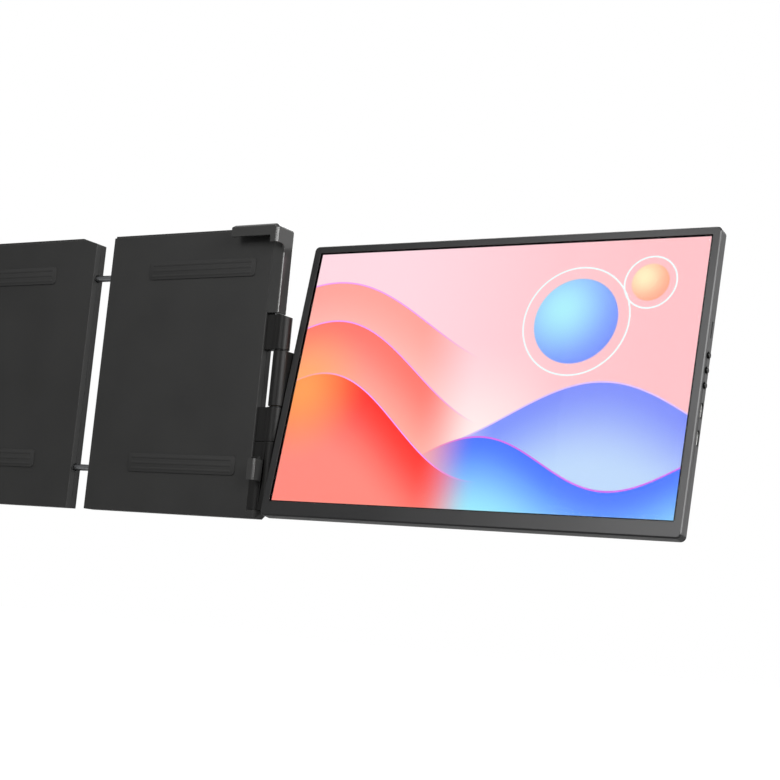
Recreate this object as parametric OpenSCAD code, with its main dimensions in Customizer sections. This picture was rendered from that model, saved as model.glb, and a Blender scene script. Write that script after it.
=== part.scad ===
// Clip-on second screen for a laptop.
// A two-part frame hangs on the back of the laptop's lid. A friction hinge on its right
// side carries an arm, and the arm carries a 14-inch screen on a tilt pin.
// Origin: middle of the frame, on the plane of the lid's back, level with the lid's top edge.
// +X is to the user's right, +Y is behind the lid, +Z is up the lid. Millimetres.

/* [Picture and bezel] */
// Width of the lit picture
picture_w = 301; // [280:1:320]
// Height of the lit picture
picture_h = 188.5; // [176:0.5:200]
// Bezel on the hinge side
bezel_left = 6.9; // [6:0.1:9]
// Bezel on the port side
bezel_right = 6.2; // [6:0.1:9]
// Bezel above the picture
bezel_top = 6.3; // [6:0.1:9]
// Bezel below the picture
bezel_bottom = 11.2; // [10:0.1:15]
// Black edge between the picture and the bezel
black_edge = 0.8; // [0.5:0.1:1.2]
// Thickness of the whole screen
screen_t = 10; // [9.8:0.1:12]
// Radius of the screen's corners
corner_r = 3.5; // [2:0.1:5]
// Wall thickness of the screen's casing
case_wall = 1.4; // [1.2:0.1:1.5]
// Depth of the front bezel, from its face to the seam with the rear cover
seam_depth = 3; // [2.9:0.1:3.1]
// Thickness of the bezel's lip in front of the glass
lip_t = 1; // [0.8:0.1:1.1]
// Thickness of the cover glass
glass_t = 0.6; // [0.4:0.1:0.7]
// Thickness of the display panel
panel_t = 1; // [0.8:0.1:1.1]
// Thickness of the backlight
backlight_t = 1.4; // [1.2:0.1:1.4]
// Thickness of the steel chassis
chassis_t = 0.8; // [0.6:0.1:0.9]

/* [Lean and tilt] */
// How far the screen leans back from the lid
lean = 10.2; // [0:0.1:15]
// Distance of the tilt axis behind the rear cover
tilt_offset = 4.6; // [4.6:0.1:6]
// Radius of the tilt pin
tilt_pin_r = 2; // [1.5:0.1:2.2]
// Length of the tilt barrel on the screen
tilt_barrel_l = 24; // [18:1:30]
// Outer radius of the tilt barrel
tilt_barrel_r = 3.9; // [3.6:0.1:4.1]
// Wall of the cover over the tilt barrel
tilt_cover_wall = 1.6; // [1.2:0.1:2]
// Running clearance of pins in their bores
pin_play = 0.05; // [0.02:0.01:0.09]

/* [Frame] */
// Width of the frame as it is set, over both sides
frame_w = 348.6; // [345:0.1:380]
// Gap between the frame's two halves as it is set
frame_gap = 18; // [18:0.5:24]
// Depth of the frame behind the lid
frame_d = 10.9; // [10.9:0.1:13]
// How far the frame reaches below the lid's top edge
frame_drop = 211.9; // [208:0.1:225]
// Thickness of the ledge on top of the lid
top_wall = 2.8; // [2.4:0.1:4]
// Wall thickness of the frame's shells
frame_wall = 1.8; // [1.5:0.1:2]
// Thickness of the pads that the lid lies against
pad_t = 1; // [0.8:0.1:1.5]
// Thickness of the lid that the clips take
lid_t = 5.8; // [5:0.1:8]
// Thickness of the clips' lips
clip_t = 2.4; // [2:0.1:3]
// Thickness of the foam behind the lips
foam_t = 0.8; // [0.5:0.1:1.2]
// Thickness of the clips' side walls
clip_side_t = 1.8; // [1.5:0.1:2.2]
// Length of the corner clip along the lid's top
corner_clip_l = 42.5; // [30:0.5:60]
// How far the corner clip's lip reaches down the lid
corner_lip_h = 6; // [5:0.1:9]
// Height of the side clip
side_clip_h = 15.3; // [12:0.1:22]
// Height of the side clip's lower edge over the frame's bottom
side_clip_z = 26.7; // [22:0.1:30]
// Reach of the side clip's lip over the lid
side_clip_reach = 4.2; // [4.2:0.1:7]

/* [Hinge column] */
// Width of the column beside the frame's shells
column_w = 10.3; // [9:0.1:12]
// Distance of the hinge axis outside the frame's side
axis_out = 3; // [3:0.1:4.5]
// Radius of the fixed knuckles
knuckle_r = 5.7; // [5.2:0.1:5.8]
// Radius of the arm's knuckle
arm_barrel_r = 6; // [5.5:0.1:6]
// Radius of the hinge pin
hinge_pin_r = 2.5; // [2:0.1:2.6]
// Outer radius of the bushes in the arm's knuckle
bush_r = 4; // [3.6:0.1:4.2]
// Height of the arm's knuckle
arm_knuckle_h = 40.4; // [34:0.1:46]
// Height of the upper fixed knuckle
upper_knuckle_h = 26.1; // [20:0.1:28]
// Height of the lower fixed knuckle
lower_knuckle_h = 25.1; // [20:0.1:28]
// Space between knuckles, filled by a washer
knuckle_gap = 0.9; // [0.9:0.1:1.4]
// Thickness of the washers between knuckles
hinge_washer_t = 0.5; // [0.4:0.1:0.5]
// Place of the hinge's middle down the frame, as a share of the frame's reach
hinge_share = 0.5191; // [0.51:0.0001:0.53]
// Gap between the arm's knuckle and the screen's side
side_gap = 0.3; // [0.3:0.1:1]
// Thickness of the arm's side plate
arm_t = 3.4; // [3:0.1:4]
// Radius of the arm's tilt boss
arm_boss_r = 7.5; // [6:0.1:8]

/* [Width rods] */
// Radius of the two steel rods
rod_r = 2.5; // [2:0.1:2.7]
// Length of a rod
rod_l = 163; // [150:1:175]
// How far a rod reaches into the right half
rod_hold = 29; // [26:1:30]
// Depth of the upper rod below the lid's top edge
rod_upper_drop = 30; // [28:1:40]
// Height of the lower rod over the frame's bottom
rod_lower_rise = 31.9; // [28:0.1:40]
// Length of each guide block on the left half
guide_l = 10; // [8:1:14]
// Distance between the guide blocks of one rod
guide_pitch = 38; // [30:1:40]

/* [Kickstand] */
// Space between the rods' ends and the kickstand
stand_rod_space = 7; // [5:0.1:20]
// Space between the kickstand and the spine
stand_spine_space = 11.2; // [11:0.1:25]
// Length of the kickstand, foot included
stand_l = 140; // [110:1:142]
// Thickness of the kickstand
stand_t = 3; // [2.6:0.1:3.4]
// Gap round the kickstand in its recess
stand_gap = 0.5; // [0.4:0.1:0.8]
// Radius of the kickstand's pins
stand_pin_r = 0.9; // [0.7:0.1:1]
// Height of the kickstand's rubber foot
stand_foot_h = 2.8; // [2:0.1:4]

/* [Buttons and ports] */
// Radius of a button
button_r = 1.9; // [1.6:0.1:2]
// How far a button stands proud
button_proud = 1.1; // [0.7:0.1:1.3]
// Distance between buttons
button_pitch = 10; // [8:0.1:11]
// Height of the middle button over the picture's lower edge
button_v = 98.6; // [94:0.1:102]
// Height of the upper port over the picture's lower edge
port_upper_v = 72.1; // [69:0.1:75]
// Height of the lower port over the picture's lower edge
port_lower_v = 54.2; // [50:0.1:56]
// Height of the side grille over the picture's lower edge
grille_v = 125.5; // [121:0.1:135]
// Length of the side grille
grille_l = 11; // [8:0.1:12]

/* [Hidden] */
$fn = 48;
eps = 0.01;

// Colours, as sRGB hex
shell_colour = "#3b3a39";
metal_colour = "#454443";
steel_colour = "#8d8f92";
pad_colour = "#1d1d1e";
bezel_colour = "#4a494a";
board_colour = "#1f4a33";

// Frame: sides, faces and heights
half_w = frame_w / 2;
inner_x = frame_gap / 2;
shell_x = half_w - column_w;
face_y = pad_t;
back_y = face_y + frame_d;
seam_y = face_y + frame_d / 2;
top_z = top_wall;
bottom_z = -frame_drop;
front_rim_z = top_wall * 0.36;
lip_back_y = -lid_t - foam_t;
lip_face_y = lip_back_y - clip_t;

hinge_drop = frame_drop * hinge_share;

// Hinge column: the arm's knuckle is in the middle, a fixed one lies over and under it
axis_x = half_w + axis_out;
axis_y = seam_y;
arm_top_z = -hinge_drop + arm_knuckle_h / 2;
arm_low_z = -hinge_drop - arm_knuckle_h / 2;
upper_low_z = arm_top_z + knuckle_gap;
upper_top_z = upper_low_z + upper_knuckle_h;
lower_top_z = arm_low_z - knuckle_gap;
lower_low_z = lower_top_z - lower_knuckle_h;
block_gap = 1;
block_low_z = upper_top_z + block_gap;
rail_seam = 0.2;
rail_top_z = lower_low_z - rail_seam;
rail_waist_z = rail_top_z - 11;
cap_h = 6;
cap_top_z = bottom_z + cap_h;
knuckle_neck_x = half_w - 1.7;
pin_end = 3;
crown_fall = 2.4;
rail_round = 5.5;

// Lid pads
pad_h = 14;
pad_drop = 20;
pad_rise = 30;
pad_inset = 40;
pad_outset = 14;

// Spine and tenons inside the shells
spine_w = 16;
spine_x = shell_x - frame_wall - spine_w;
spine_t = 3;
spine_y = seam_y - 2;
tenon_y = spine_y + spine_t;
tenon_t = 2;
tenon_h = 14;
tenon_x = spine_x + 4;
spine_top_z = -8;
spine_low_z = bottom_z + 7;
column_screw_in = 9;
column_screw_x = spine_x + column_screw_in;
clip_tenons = [-24, -50];
knuckle_tenons = [(upper_low_z + upper_top_z) / 2, (lower_low_z + lower_top_z) / 2];
rail_tenons = [(rail_top_z + bottom_z) / 2 + 12, (rail_top_z + bottom_z) / 2 - 14];
left_rail_top_z = block_low_z - 1;
left_rail_tenons = [
    for (share = [0.23, 0.47, 0.88]) left_rail_top_z - share * (left_rail_top_z - cap_top_z)
];
screw_r = 1.25;
screw_head_r = 2.4;
screw_head_t = 0.6;

// Shell screws: posts at these places, seen from behind
post_r = 3;
post_places = [
    [inner_x + 17, -12], [inner_x + 17, -100], [inner_x + 17, bottom_z + 11.9],
    [spine_x - 5, -20], [spine_x - 5, bottom_z + 16.9]
];
shell_head_r = 2;
shell_head_t = 1;

// Rods
rod_y = seam_y;
rod_right_x = inner_x + rod_hold;
rod_left_x = rod_right_x - rod_l;
rod_heights = [-rod_upper_drop, bottom_z + rod_lower_rise];
block_h = 10;
block_play = 0.2;
anchor_inset = 3;
guide_inset = 1;
rod_room = 0.4;

// Kickstand
stand_x1 = rod_right_x + stand_rod_space;
stand_x2 = spine_x - stand_spine_space;
stand_x = (stand_x1 + stand_x2) / 2;
stand_w = stand_x2 - stand_x1;
stand_lift = 5.9;
stand_back_y = back_y;
stand_axis_y = stand_back_y - stand_t / 2;
stand_top_z = bottom_z + stand_lift + stand_l;
stand_low_z = bottom_z + stand_lift;
stand_axis_z = stand_top_z - stand_t / 2;
finger_r = 8;
finger_lift = 6.5;
stand_pin_in = 5;
stand_pin_out = 1.4;
pocket_wall = 2;
pocket_floor_t = 1.2;

// Screen, in its own coordinates: u across, w from its face backwards, v up
screen_w = bezel_left + picture_w + bezel_right;
screen_h = bezel_bottom + picture_h + bezel_top;
screen_left_x = axis_x + arm_barrel_r + side_gap;
picture_x = screen_left_x + bezel_left;
right_u = picture_w + bezel_right;
top_v = picture_h + bezel_top;
back_inner_w = screen_t - case_wall;
glass_w = lip_t;
panel_w = glass_w + glass_t;
backlight_w = panel_w + panel_t;
chassis_w = backlight_w + backlight_t;
chassis_back_w = chassis_w + chassis_t;
tilt_w = screen_t + tilt_offset;
tilt_v = 92.75;
// The picture's lower left corner lies this far in front of the lid's back
picture_front = 7.7;
tilt_z = -hinge_drop;
tilt_y = -picture_front + tilt_v * sin(lean) + tilt_w * cos(lean);
stack_over = 2;
stack_gap = 0.3;

// Tilt hinge along X
barrel_gap = 1;
tilt_u = -bezel_left + barrel_gap;
tilt_end_u = tilt_u + tilt_barrel_l;
nut_t = 2.4;
tilt_washer_t = 1.6;
bracket_half_v = 9;
cover_room = 0.5;
cover_r = tilt_barrel_r + cover_room + tilt_cover_wall;
cover_end_u = tilt_end_u + tilt_washer_t + nut_t + 3;

// Buttons, ports and grille on the right side
button_w = 5.6;
button_flange_r = button_r + 0.35;
button_flange_t = 0.7;
button_rest_gap = 0.3;
button_play = 0.08;
button_edge = 0.45;
dish_r = button_r + 0.5;
dish_depth = 0.4;
port_w = 5.9;
port_long = 9;
port_short = 3.2;
port_wall = 0.35;
port_depth = 7.4;
grille_w = 5.6;
grille_short = 1.6;
board_t = 0.8;
button_board_x = 3.5;
post_spots = [
    [-bezel_left + 7, -bezel_bottom + 7], [right_u - 13, -bezel_bottom + 7],
    [-bezel_left + 7, top_v - 7], [right_u - 13, top_v - 7]
];
chassis_post_r = 2.2;
rear_screw_r = 0.9;
rear_head_r = 1.9;
rear_head_t = 0.8;

// ---- helpers ----

// A box from its two corners
module block(low, high) {
    translate(low) cube(high - low);
}

// A cylinder along X from x1 to x2
module rod_x(x1, x2, y, z, r) {
    translate([x1, y, z]) rotate([0, 90, 0]) cylinder(h = x2 - x1, r = r);
}

// A cylinder along Y from y1 to y2
module rod_y(x, y1, y2, z, r) {
    translate([x, y1, z]) rotate([-90, 0, 0]) cylinder(h = y2 - y1, r = r);
}

// Puts a piece of the screen, drawn upright with its picture corner at zero, in its place
module on_screen() {
    translate([picture_x, tilt_y, tilt_z])
        rotate([-lean, 0, 0])
            translate([0, -tilt_w, -tilt_v])
                children();
}

// A plate across the screen with rounded corners, from w1 to w2
module plate(u1, u2, v1, v2, w1, w2, r) {
    translate([0, w2, 0]) rotate([90, 0, 0]) linear_extrude(height = w2 - w1)
        rounded(u1, u2, v1, v2, r);
}

module rounded(u1, u2, v1, v2, r) {
    union() {
        translate([u1 + r, v1]) square([u2 - u1 - 2 * r, v2 - v1]);
        translate([u1, v1 + r]) square([u2 - u1, v2 - v1 - 2 * r]);
        for (u = [u1 + r, u2 - r], v = [v1 + r, v2 - r])
            translate([u, v]) circle(r = r);
    }
}

// The right half's pieces, mirrored for the left half
module left_side() {
    mirror([1, 0, 0]) children();
}

// ---- frame shells ----

module half_front_shell(sloped) {
    difference() {
        block([inner_x, face_y, bottom_z], [shell_x, seam_y, front_rim_z]);
        block([inner_x + frame_wall, face_y + frame_wall, bottom_z + frame_wall],
              [shell_x - frame_wall, seam_y + eps, front_rim_z - frame_wall]);
        rod_holes();
        if (sloped) inner_slope();
    }
    for (p = post_places)
        difference() {
            rod_y(p[0], face_y + frame_wall - eps, back_y - frame_wall, p[1], post_r);
            rod_y(p[0], face_y + frame_wall + 2, back_y, p[1], screw_r);
        }
}

module half_rear_cover(sloped, tenons) {
    difference() {
        union() {
            difference() {
                block([inner_x, seam_y, bottom_z], [shell_x, back_y, top_z]);
                block([inner_x + frame_wall, seam_y - eps, bottom_z + frame_wall],
                      [shell_x - frame_wall, back_y - frame_wall, top_z - frame_wall]);
            }
            // closes the step over the front shell's rim
            block([inner_x, face_y + frame_wall, front_rim_z], [shell_x, seam_y, top_z]);
        }
        rod_holes();
        if (sloped) inner_slope();
        for (z = tenons)
            block([shell_x - frame_wall - eps, tenon_y - 0.1, z - tenon_h / 2 - 0.1],
                  [shell_x + eps, tenon_y + tenon_t + 0.1, z + tenon_h / 2 + 0.1]);
        for (p = post_places) {
            rod_y(p[0], back_y - frame_wall - eps, back_y + eps, p[1], screw_r + 0.1);
            rod_y(p[0], back_y - shell_head_t, back_y + eps, p[1], shell_head_r + 0.1);
        }
    }
}

// Holes in a half's inner end for the rods
module rod_holes() {
    for (z = rod_heights)
        rod_x(inner_x - 1, inner_x + frame_wall + 1, rod_y, z, rod_r + rod_room);
}

// The left half's inner end slopes down from its top
module inner_slope() {
    slope_l = 16.7;
    slope_h = 5.3;
    translate([0, back_y + 1, 0]) rotate([90, 0, 0]) linear_extrude(height = frame_d + 2)
        polygon([
            [inner_x - 1, top_z + 1], [inner_x - 1, top_z - slope_h],
            [inner_x, top_z - slope_h], [inner_x + slope_l, top_z],
            [inner_x + slope_l, top_z + 1]
        ]);
}

module right_front_shell() {
    color(shell_colour) half_front_shell(false);
}

module left_front_shell() {
    color(shell_colour) left_side() half_front_shell(true);
}

module right_rear_cover() {
    pocket_x1 = stand_x - stand_w / 2 - stand_gap;
    pocket_x2 = stand_x + stand_w / 2 + stand_gap;
    pocket_z1 = stand_low_z - stand_gap;
    pocket_z2 = stand_top_z + stand_gap;
    floor_y = stand_back_y - stand_t - stand_gap;
    color(shell_colour) difference() {
        union() {
            half_rear_cover(false, concat(clip_tenons, knuckle_tenons, rail_tenons));
            block([pocket_x1 - pocket_wall, floor_y - pocket_floor_t, pocket_z1 - pocket_wall],
                  [pocket_x2 + pocket_wall, back_y, pocket_z2 + pocket_wall]);
        }
        block([pocket_x1, floor_y, pocket_z1], [pocket_x2, back_y + eps, pocket_z2]);
        // finger notch at the kickstand's free end
        rod_y(stand_x, floor_y, back_y + eps, pocket_z1 + finger_lift, finger_r);
        stand_pin_holes(stand_pin_r);
    }
}

module left_rear_cover() {
    color(shell_colour) left_side()
        half_rear_cover(true, concat(clip_tenons, left_rail_tenons));
}

// ---- column ----

module spine(tenons) {
    difference() {
        block([spine_x, spine_y, spine_low_z], [spine_x + spine_w, tenon_y, spine_top_z]);
        for (z = tenons)
            rod_y(column_screw_x, spine_y - eps, tenon_y + eps, z, screw_r);
    }
}

module right_spine() {
    color(steel_colour) spine(concat(clip_tenons, knuckle_tenons, rail_tenons));
}

module left_spine() {
    color(steel_colour) left_side() spine(concat(clip_tenons, left_rail_tenons));
}

// A tongue from a column piece to the spine, drilled for its screw
module tenon(z, reach) {
    difference() {
        block([tenon_x, tenon_y, z - tenon_h / 2], [reach, tenon_y + tenon_t, z + tenon_h / 2]);
        rod_y(column_screw_x, tenon_y - eps, tenon_y + tenon_t + eps, z, screw_r);
    }
}

module column_screws(tenons) {
    for (z = tenons)
        union() {
            rod_y(column_screw_x, spine_y, tenon_y + tenon_t + eps, z, screw_r);
            rod_y(column_screw_x, tenon_y + tenon_t, tenon_y + tenon_t + screw_head_t,
                  z, screw_head_r);
        }
}

module right_column_screws() {
    color(steel_colour) column_screws(concat(clip_tenons, knuckle_tenons, rail_tenons));
}

module left_column_screws() {
    color(steel_colour) left_side() column_screws(concat(clip_tenons, left_rail_tenons));
}

// Upper part of the column, with the hook over the lid's corner
module corner_clip() {
    clip_x = half_w - corner_clip_l;
    leg_x = half_w - 6.6;
    leg_low_z = -11.3;
    edge = 1.6;
    skirt_z = -15;
    difference() {
        union() {
            block([shell_x, face_y, block_low_z], [half_w, back_y, top_z]);
            block([clip_x, lip_face_y, 0], [half_w, face_y, top_z]);
            block([clip_x, lip_face_y, -corner_lip_h], [half_w, lip_back_y, top_z]);
            block([leg_x, lip_face_y, leg_low_z], [half_w, lip_back_y, top_z]);
            block([half_w - clip_side_t, lip_face_y, skirt_z], [half_w, face_y + eps, top_z]);
        }
        // chamfer down the front corner
        translate([half_w, lip_face_y, block_low_z - 1])
            linear_extrude(height = top_z - block_low_z + 2)
            polygon([[-edge, -1], [1, -1], [1, edge], [0, edge], [-edge, 0]]);
        // chamfer along the front of the top
        translate([clip_x - 1, lip_face_y, top_z]) rotate([90, 0, 90])
            linear_extrude(height = corner_clip_l + 2)
                polygon([[-1, -0.8], [0, -0.8], [0.8, 0], [0.8, 1], [-1, 1]]);
        // step at the clip's inner end
        translate([clip_x, face_y + 1, top_z]) rotate([90, 0, 0])
            linear_extrude(height = face_y - lip_face_y + 2)
                polygon([[-1, -1.8], [0, -1.8], [2.2, 0], [2.2, 1], [-1, 1]]);
        // the skirt's lower edge runs back in a slope
        translate([half_w - clip_side_t - 5, 0, 0]) rotate([90, 0, 90])
            linear_extrude(height = clip_side_t + 6)
                polygon([
                    [lip_face_y - 1, leg_low_z], [lip_back_y, leg_low_z],
                    [face_y - 2.5, skirt_z + 1.2], [face_y, skirt_z - 2],
                    [face_y, skirt_z - 8], [lip_face_y - 1, skirt_z - 8]
                ]);
        // small chamfer down the block's front corner
        translate([half_w, face_y, block_low_z - 1])
            linear_extrude(height = skirt_z - 2 - block_low_z + 1)
                polygon([[-0.8, -1], [1, -1], [1, 0.8], [0, 0.8], [-0.8, 0]]);
    }
    for (z = clip_tenons) tenon(z, shell_x + eps);
}

module right_corner_clip() {
    color(metal_colour) corner_clip();
}

module left_corner_clip() {
    color(metal_colour) left_side() corner_clip();
}

// Plan of the side rail: a bar with its outer front corner rounded
module rail_plan() {
    round_x = half_w - rail_round;
    round_y = face_y + rail_round;
    difference() {
        translate([shell_x, face_y]) square([column_w, frame_d]);
        difference() {
            translate([round_x, face_y - 1]) square([rail_round + 1, rail_round + 1]);
            translate([round_x, round_y]) circle(r = rail_round);
        }
    }
}

module side_rail(z1, z2) {
    translate([0, 0, z1]) linear_extrude(height = z2 - z1) rail_plan();
}

// Where the side clip's wall lies in the rail
module side_clip_volume() {
    block([half_w - clip_side_t, face_y - 1, bottom_z + side_clip_z],
          [half_w + 1, face_y + rail_round, bottom_z + side_clip_z + side_clip_h]);
}

// The right rail carries on the knuckles' barrel, and narrows to their neck at its top
module right_side_rail() {
    color(metal_colour) {
        difference() {
            union() {
                side_rail(cap_top_z, rail_waist_z);
                knuckle_body(cap_top_z, rail_top_z);
            }
            side_clip_volume();
        }
        for (z = rail_tenons) tenon(z, shell_x + eps);
    }
}

module left_side_rail() {
    color(metal_colour) left_side() {
        difference() {
            side_rail(cap_top_z, left_rail_top_z);
            side_clip_volume();
        }
        for (z = left_rail_tenons) tenon(z, shell_x + eps);
    }
}

// Closes the column's lower end, with its outer lower corner cut off
module end_cap() {
    cut = 3.2;
    difference() {
        translate([0, 0, bottom_z]) linear_extrude(height = cap_h - eps) rail_plan();
        translate([0, back_y + 1, bottom_z]) rotate([90, 0, 0])
            linear_extrude(height = frame_d + 2)
                polygon([[half_w - cut, -1], [half_w + 1, -1], [half_w + 1, cut],
                         [half_w, cut], [half_w - cut, 0]]);
    }
}

module right_end_cap() {
    color(shell_colour) end_cap();
}

module left_end_cap() {
    color(shell_colour) left_side() end_cap();
}

module side_clip() {
    z1 = bottom_z + side_clip_z;
    z2 = z1 + side_clip_h;
    edge = 1.4;
    difference() {
        union() {
            block([half_w - clip_side_t, lip_face_y, z1],
                  [half_w, face_y + rail_round, z2]);
            block([half_w - clip_side_t - side_clip_reach, lip_face_y, z1],
                  [half_w, lip_back_y, z2]);
        }
        translate([half_w, lip_face_y, z1 - 1]) linear_extrude(height = side_clip_h + 2)
            polygon([[-edge, -1], [1, -1], [1, edge], [0, edge], [-edge, 0]]);
    }
}

module right_side_clip() {
    color(metal_colour) side_clip();
}

module left_side_clip() {
    color(metal_colour) left_side() side_clip();
}

// Two rubber strips that the lid lies against
module lid_pads() {
    for (z = [-pad_drop - pad_h, bottom_z + pad_rise])
        block([inner_x + pad_inset, 0, z], [shell_x - pad_outset, face_y, z + pad_h]);
}

module right_lid_pads() {
    color(pad_colour) lid_pads();
}

module left_lid_pads() {
    color(pad_colour) left_side() lid_pads();
}

// Foam behind the corner lip and the side clip's lip
module clip_foam() {
    z1 = bottom_z + side_clip_z;
    block([half_w - corner_clip_l + 1, lip_back_y, 0.5 - corner_lip_h],
          [half_w - clip_side_t - 0.5, lip_back_y + foam_t, -0.5]);
    block([half_w - clip_side_t - side_clip_reach + 0.3, lip_back_y, z1 + 0.5],
          [half_w - clip_side_t, lip_back_y + foam_t, z1 + side_clip_h - 0.5]);
}

module right_clip_foam() {
    color(pad_colour) clip_foam();
}

module left_clip_foam() {
    color(pad_colour) left_side() clip_foam();
}

module shell_screws() {
    for (p = post_places)
        union() {
            rod_y(p[0], face_y + frame_wall + 2.5, back_y - shell_head_t + eps, p[1],
                  screw_r);
            rod_y(p[0], back_y - shell_head_t, back_y - 0.2, p[1], shell_head_r);
        }
}

module right_shell_screws() {
    color(steel_colour) shell_screws();
}

module left_shell_screws() {
    color(steel_colour) left_side() shell_screws();
}

// ---- hinge ----

// A round barrel on a block, with a neck to the shells
module knuckle_body(z1, z2) {
    edge = 0.8;
    neck_y = 2;
    translate([axis_x, axis_y, z1]) cylinder(h = z2 - z1, r = knuckle_r);
    translate([0, 0, z1]) linear_extrude(height = z2 - z1)
        polygon([
            [knuckle_neck_x + edge, face_y], [axis_x, face_y], [axis_x, back_y],
            [knuckle_neck_x + edge, back_y], [knuckle_neck_x, back_y - edge],
            [knuckle_neck_x, face_y + edge]
        ]);
    block([shell_x, face_y + neck_y, z1], [knuckle_neck_x + 1, back_y - neck_y, z2]);
}

// A fixed knuckle, bored for the pin. Its top falls outwards by fall.
module fixed_knuckle(z1, z2, tenon_z, bore_z1, bore_z2, fall) {
    difference() {
        knuckle_body(z1, z2);
        translate([axis_x, axis_y, bore_z1])
            cylinder(h = bore_z2 - bore_z1, r = hinge_pin_r);
        if (fall > 0)
            translate([axis_x, back_y + 1, z2]) rotate([90, 0, 0])
                linear_extrude(height = frame_d + 2)
                polygon([[-2, 0], [knuckle_r + 1, -fall], [knuckle_r + 1, 1], [-2, 1]]);
    }
    tenon(tenon_z, shell_x + eps);
}

module upper_knuckle() {
    color(metal_colour)
        fixed_knuckle(upper_low_z, upper_top_z, knuckle_tenons[0],
                      upper_low_z - 1, upper_top_z - pin_end, crown_fall);
}

module lower_knuckle() {
    color(metal_colour)
        fixed_knuckle(lower_low_z, lower_top_z, knuckle_tenons[1],
                      lower_low_z + pin_end, lower_top_z + 1, 0);
}

module hinge_pin() {
    color(steel_colour) translate([axis_x, axis_y, lower_low_z + pin_end])
        cylinder(h = upper_top_z - lower_low_z - 2 * pin_end, r = hinge_pin_r);
}

module hinge_washers() {
    color(steel_colour)
        for (z = [lower_top_z, upper_low_z - hinge_washer_t])
            translate([axis_x, axis_y, z]) difference() {
                cylinder(h = hinge_washer_t, r = knuckle_r - 0.7);
                translate([0, 0, -1]) cylinder(h = hinge_washer_t + 2, r = hinge_pin_r);
            }
}

// The arm: its knuckle turns on the hinge pin, its boss holds the tilt pin
module hinge_arm() {
    plate_x = axis_x + arm_barrel_r - arm_t;
    knuckle_half = arm_knuckle_h / 2;
    color(metal_colour) difference() {
        union() {
            translate([axis_x, axis_y, arm_low_z]) cylinder(h = arm_knuckle_h, r = arm_barrel_r);
            translate([plate_x, 0, tilt_z]) rotate([90, 0, 90])
                linear_extrude(height = arm_t)
                    polygon([
                        [axis_y, -knuckle_half], [axis_y + 7, -knuckle_half],
                        [tilt_y - 1, -arm_boss_r], [tilt_y, -arm_boss_r],
                        [tilt_y, arm_boss_r], [tilt_y - 1, arm_boss_r],
                        [axis_y + 7, knuckle_half], [axis_y, knuckle_half]
                    ]);
            rod_x(plate_x, plate_x + arm_t, tilt_y, tilt_z, arm_boss_r);
        }
        translate([axis_x, axis_y, arm_low_z - 1])
            cylinder(h = arm_knuckle_h + 2, r = bush_r);
        rod_x(plate_x - 1, plate_x + arm_t + 1, tilt_y, tilt_z, tilt_pin_r);
    }
}

module hinge_bushes() {
    bush_l = 14;
    color("#8a7440")
        for (z = [arm_low_z, arm_top_z - bush_l])
            translate([axis_x, axis_y, z]) difference() {
                cylinder(h = bush_l, r = bush_r);
                translate([0, 0, -1])
                    cylinder(h = bush_l + 2, r = hinge_pin_r + pin_play);
            }
}

module tilt_pin() {
    color(steel_colour)
        rod_x(axis_x + arm_barrel_r - arm_t,
              picture_x + tilt_end_u + tilt_washer_t + nut_t, tilt_y, tilt_z, tilt_pin_r);
}

// Disc springs that press on the tilt barrel
module tilt_washers() {
    x1 = picture_x + tilt_end_u + 0.2;
    x2 = picture_x + tilt_end_u + tilt_washer_t;
    color(steel_colour) difference() {
        rod_x(x1, x2, tilt_y, tilt_z, tilt_barrel_r - 0.2);
        rod_x(x1 - 1, x2 + 1, tilt_y, tilt_z, tilt_pin_r);
    }
}

module tilt_nut() {
    x1 = picture_x + tilt_end_u + tilt_washer_t;
    color(steel_colour) difference() {
        translate([x1, tilt_y, tilt_z]) rotate([0, 90, 0])
            cylinder(h = nut_t, r = tilt_barrel_r - 0.2, $fn = 6);
        rod_x(x1 - 1, x1 + nut_t + 1, tilt_y, tilt_z, tilt_pin_r);
    }
}

// ---- rods ----

module width_rods() {
    color(steel_colour)
        for (z = rod_heights) rod_x(rod_left_x, rod_right_x, rod_y, z, rod_r);
}

// Blocks that hold or guide a rod, between the shells' inner faces
module rod_block(x1, x2, z, bore_r) {
    difference() {
        block([x1, face_y + frame_wall, z - block_h / 2],
              [x2, back_y - frame_wall - block_play, z + block_h / 2]);
        rod_x(x1 - 1, x2 + 1, rod_y, z, bore_r);
    }
}

module rod_anchors() {
    color(metal_colour)
        for (z = rod_heights)
            rod_block(inner_x + frame_wall + anchor_inset, rod_right_x, z, rod_r);
}

module rod_guides() {
    guide_x = -inner_x - frame_wall - guide_inset - guide_l;
    color("#d8d8d4")
        for (z = rod_heights, step = [0, guide_pitch])
            rod_block(guide_x - step, guide_x - step + guide_l, z, rod_r + pin_play);
}

// ---- kickstand ----

module kickstand() {
    x1 = stand_x - stand_w / 2;
    x2 = stand_x + stand_w / 2;
    color(shell_colour) difference() {
        union() {
            block([x1, stand_back_y - stand_t, stand_low_z + stand_foot_h],
                  [x2, stand_back_y, stand_axis_z]);
            rod_x(x1, x2, stand_axis_y, stand_axis_z, stand_t / 2);
        }
        stand_pin_holes(stand_pin_r + pin_play);
    }
}

// The two pins of the kickstand, or the holes for them
module stand_pin_holes(r) {
    inside = stand_w / 2 - stand_pin_in;
    outside = stand_w / 2 + stand_gap + stand_pin_out;
    rod_x(stand_x - outside, stand_x - inside, stand_axis_y, stand_axis_z, r);
    rod_x(stand_x + inside, stand_x + outside, stand_axis_y, stand_axis_z, r);
}

module kickstand_foot() {
    color(pad_colour)
        block([stand_x - stand_w / 2, stand_back_y - stand_t, stand_low_z],
              [stand_x + stand_w / 2, stand_back_y, stand_low_z + stand_foot_h]);
}

module kickstand_pins() {
    color(steel_colour) stand_pin_holes(stand_pin_r);
}

// ---- screen ----

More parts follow.
